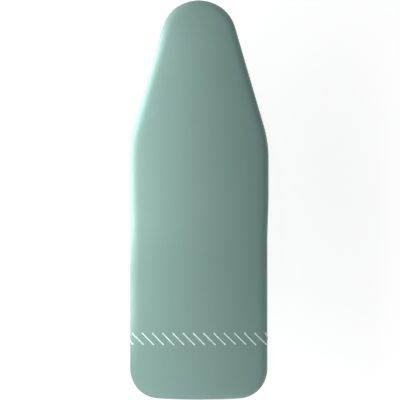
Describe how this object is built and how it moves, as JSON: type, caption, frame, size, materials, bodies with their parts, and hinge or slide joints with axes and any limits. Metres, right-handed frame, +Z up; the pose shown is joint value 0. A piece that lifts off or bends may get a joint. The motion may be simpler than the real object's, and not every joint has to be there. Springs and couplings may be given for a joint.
{
  "type": "sleeve ironing board",
  "caption": "Small table-top pressing board with a round nose, tapered flanks and a padded fabric cover, cantilevered on a stand that folds flat on parallel risers.",
  "frame": {"origin": "centre of the board's outline seen from above, on the floor plane under the feet", "axes": "+Z up, +Y towards the round nose, +X to the right seen from above with the nose up"},
  "size_m": [0.196, 0.56, 0.147],
  "materials": {
    "cover_fabric": "satin, silicone-coated cotton",
    "elastic": "braided",
    "foam": "open-cell foam",
    "zinc_steel": "zinc plated",
    "painted_steel": "powder coated",
    "rubber": "matte",
    "knob_plastic": "fine texture",
    "nylon": "natural",
    "brass": "turned"
  },
  "bodies": {
    "base": {"base_strip_front": "zinc_steel", "base_strip_rear": "zinc_steel", "base_tube": "painted_steel", "fold_bumper_left": "rubber", "fold_bumper_right": "rubber", "front_foot_left": "rubber", "front_foot_right": "rubber", "rear_foot_left": "rubber", "rear_foot_right": "rubber", "riser_strap_front_left": "zinc_steel", "riser_strap_front_right": "zinc_steel", "riser_strap_rear_left": "zinc_steel", "riser_strap_rear_right": "zinc_steel", "strap_rivet_front_1": "zinc_steel", "strap_rivet_front_2": "zinc_steel", "strap_rivet_front_3": "zinc_steel", "strap_rivet_front_4": "zinc_steel", "strap_rivet_rear_1": "zinc_steel", "strap_rivet_rear_2": "zinc_steel", "strap_rivet_rear_3": "zinc_steel", "strap_rivet_rear_4": "zinc_steel"},
    "front_riser": {"front_riser": "painted_steel"},
    "rear_riser": {"rear_riser": "painted_steel"},
    "board": {"board_pan": "zinc_steel", "bracket_rivet_1": "zinc_steel", "bracket_rivet_2": "zinc_steel", "bracket_rivet_3": "zinc_steel", "bracket_rivet_4": "zinc_steel", "bracket_rivet_5": "zinc_steel", "bracket_rivet_6": "zinc_steel", "clamp_bolt": "zinc_steel", "cover": "cover_fabric", "foam_pad": "foam", "hem_elastic": "elastic", "hinge_bracket": "zinc_steel", "knob_washer": "zinc_steel", "pivot_rivet_front_left": "zinc_steel", "pivot_rivet_rear_left": "zinc_steel", "pivot_rivet_rear_right": "zinc_steel", "pivot_washer_front_left": "nylon", "pivot_washer_front_right": "nylon", "pivot_washer_rear_left": "nylon", "pivot_washer_rear_right": "nylon", "rim_tube": "zinc_steel"},
    "lock_knob": {"lock_knob": "knob_plastic", "knob_insert": "brass"}
  },
  "joints": [
    {"name": "front_riser_fold", "type": "hinge", "parent": "base", "child": "front_riser", "pos_m": [0, -0.125, 0.016], "axis": [1, 0, 0], "range_deg": [0, 84]},
    {"name": "rear_riser_fold", "type": "hinge", "parent": "base", "child": "rear_riser", "pos_m": [0, -0.205, 0.016], "axis": [1, 0, 0], "range_deg": [0, 84]},
    {"name": "board_level", "type": "hinge", "parent": "front_riser", "child": "board", "pos_m": [0, -0.11455, 0.11545], "axis": [1, 0, 0], "range_deg": [-84, 0]},
    {"name": "knob_turn", "type": "hinge", "parent": "board", "child": "lock_knob", "pos_m": [0, -0.11455, 0.11545], "axis": [1, 0, 0], "range_deg": [0, 360]}
  ],
  "couplings": [
    {"joint": "rear_riser_fold", "follows": "front_riser_fold", "ratio": 1},
    {"joint": "board_level", "follows": "front_riser_fold", "ratio": -1}
  ]
}
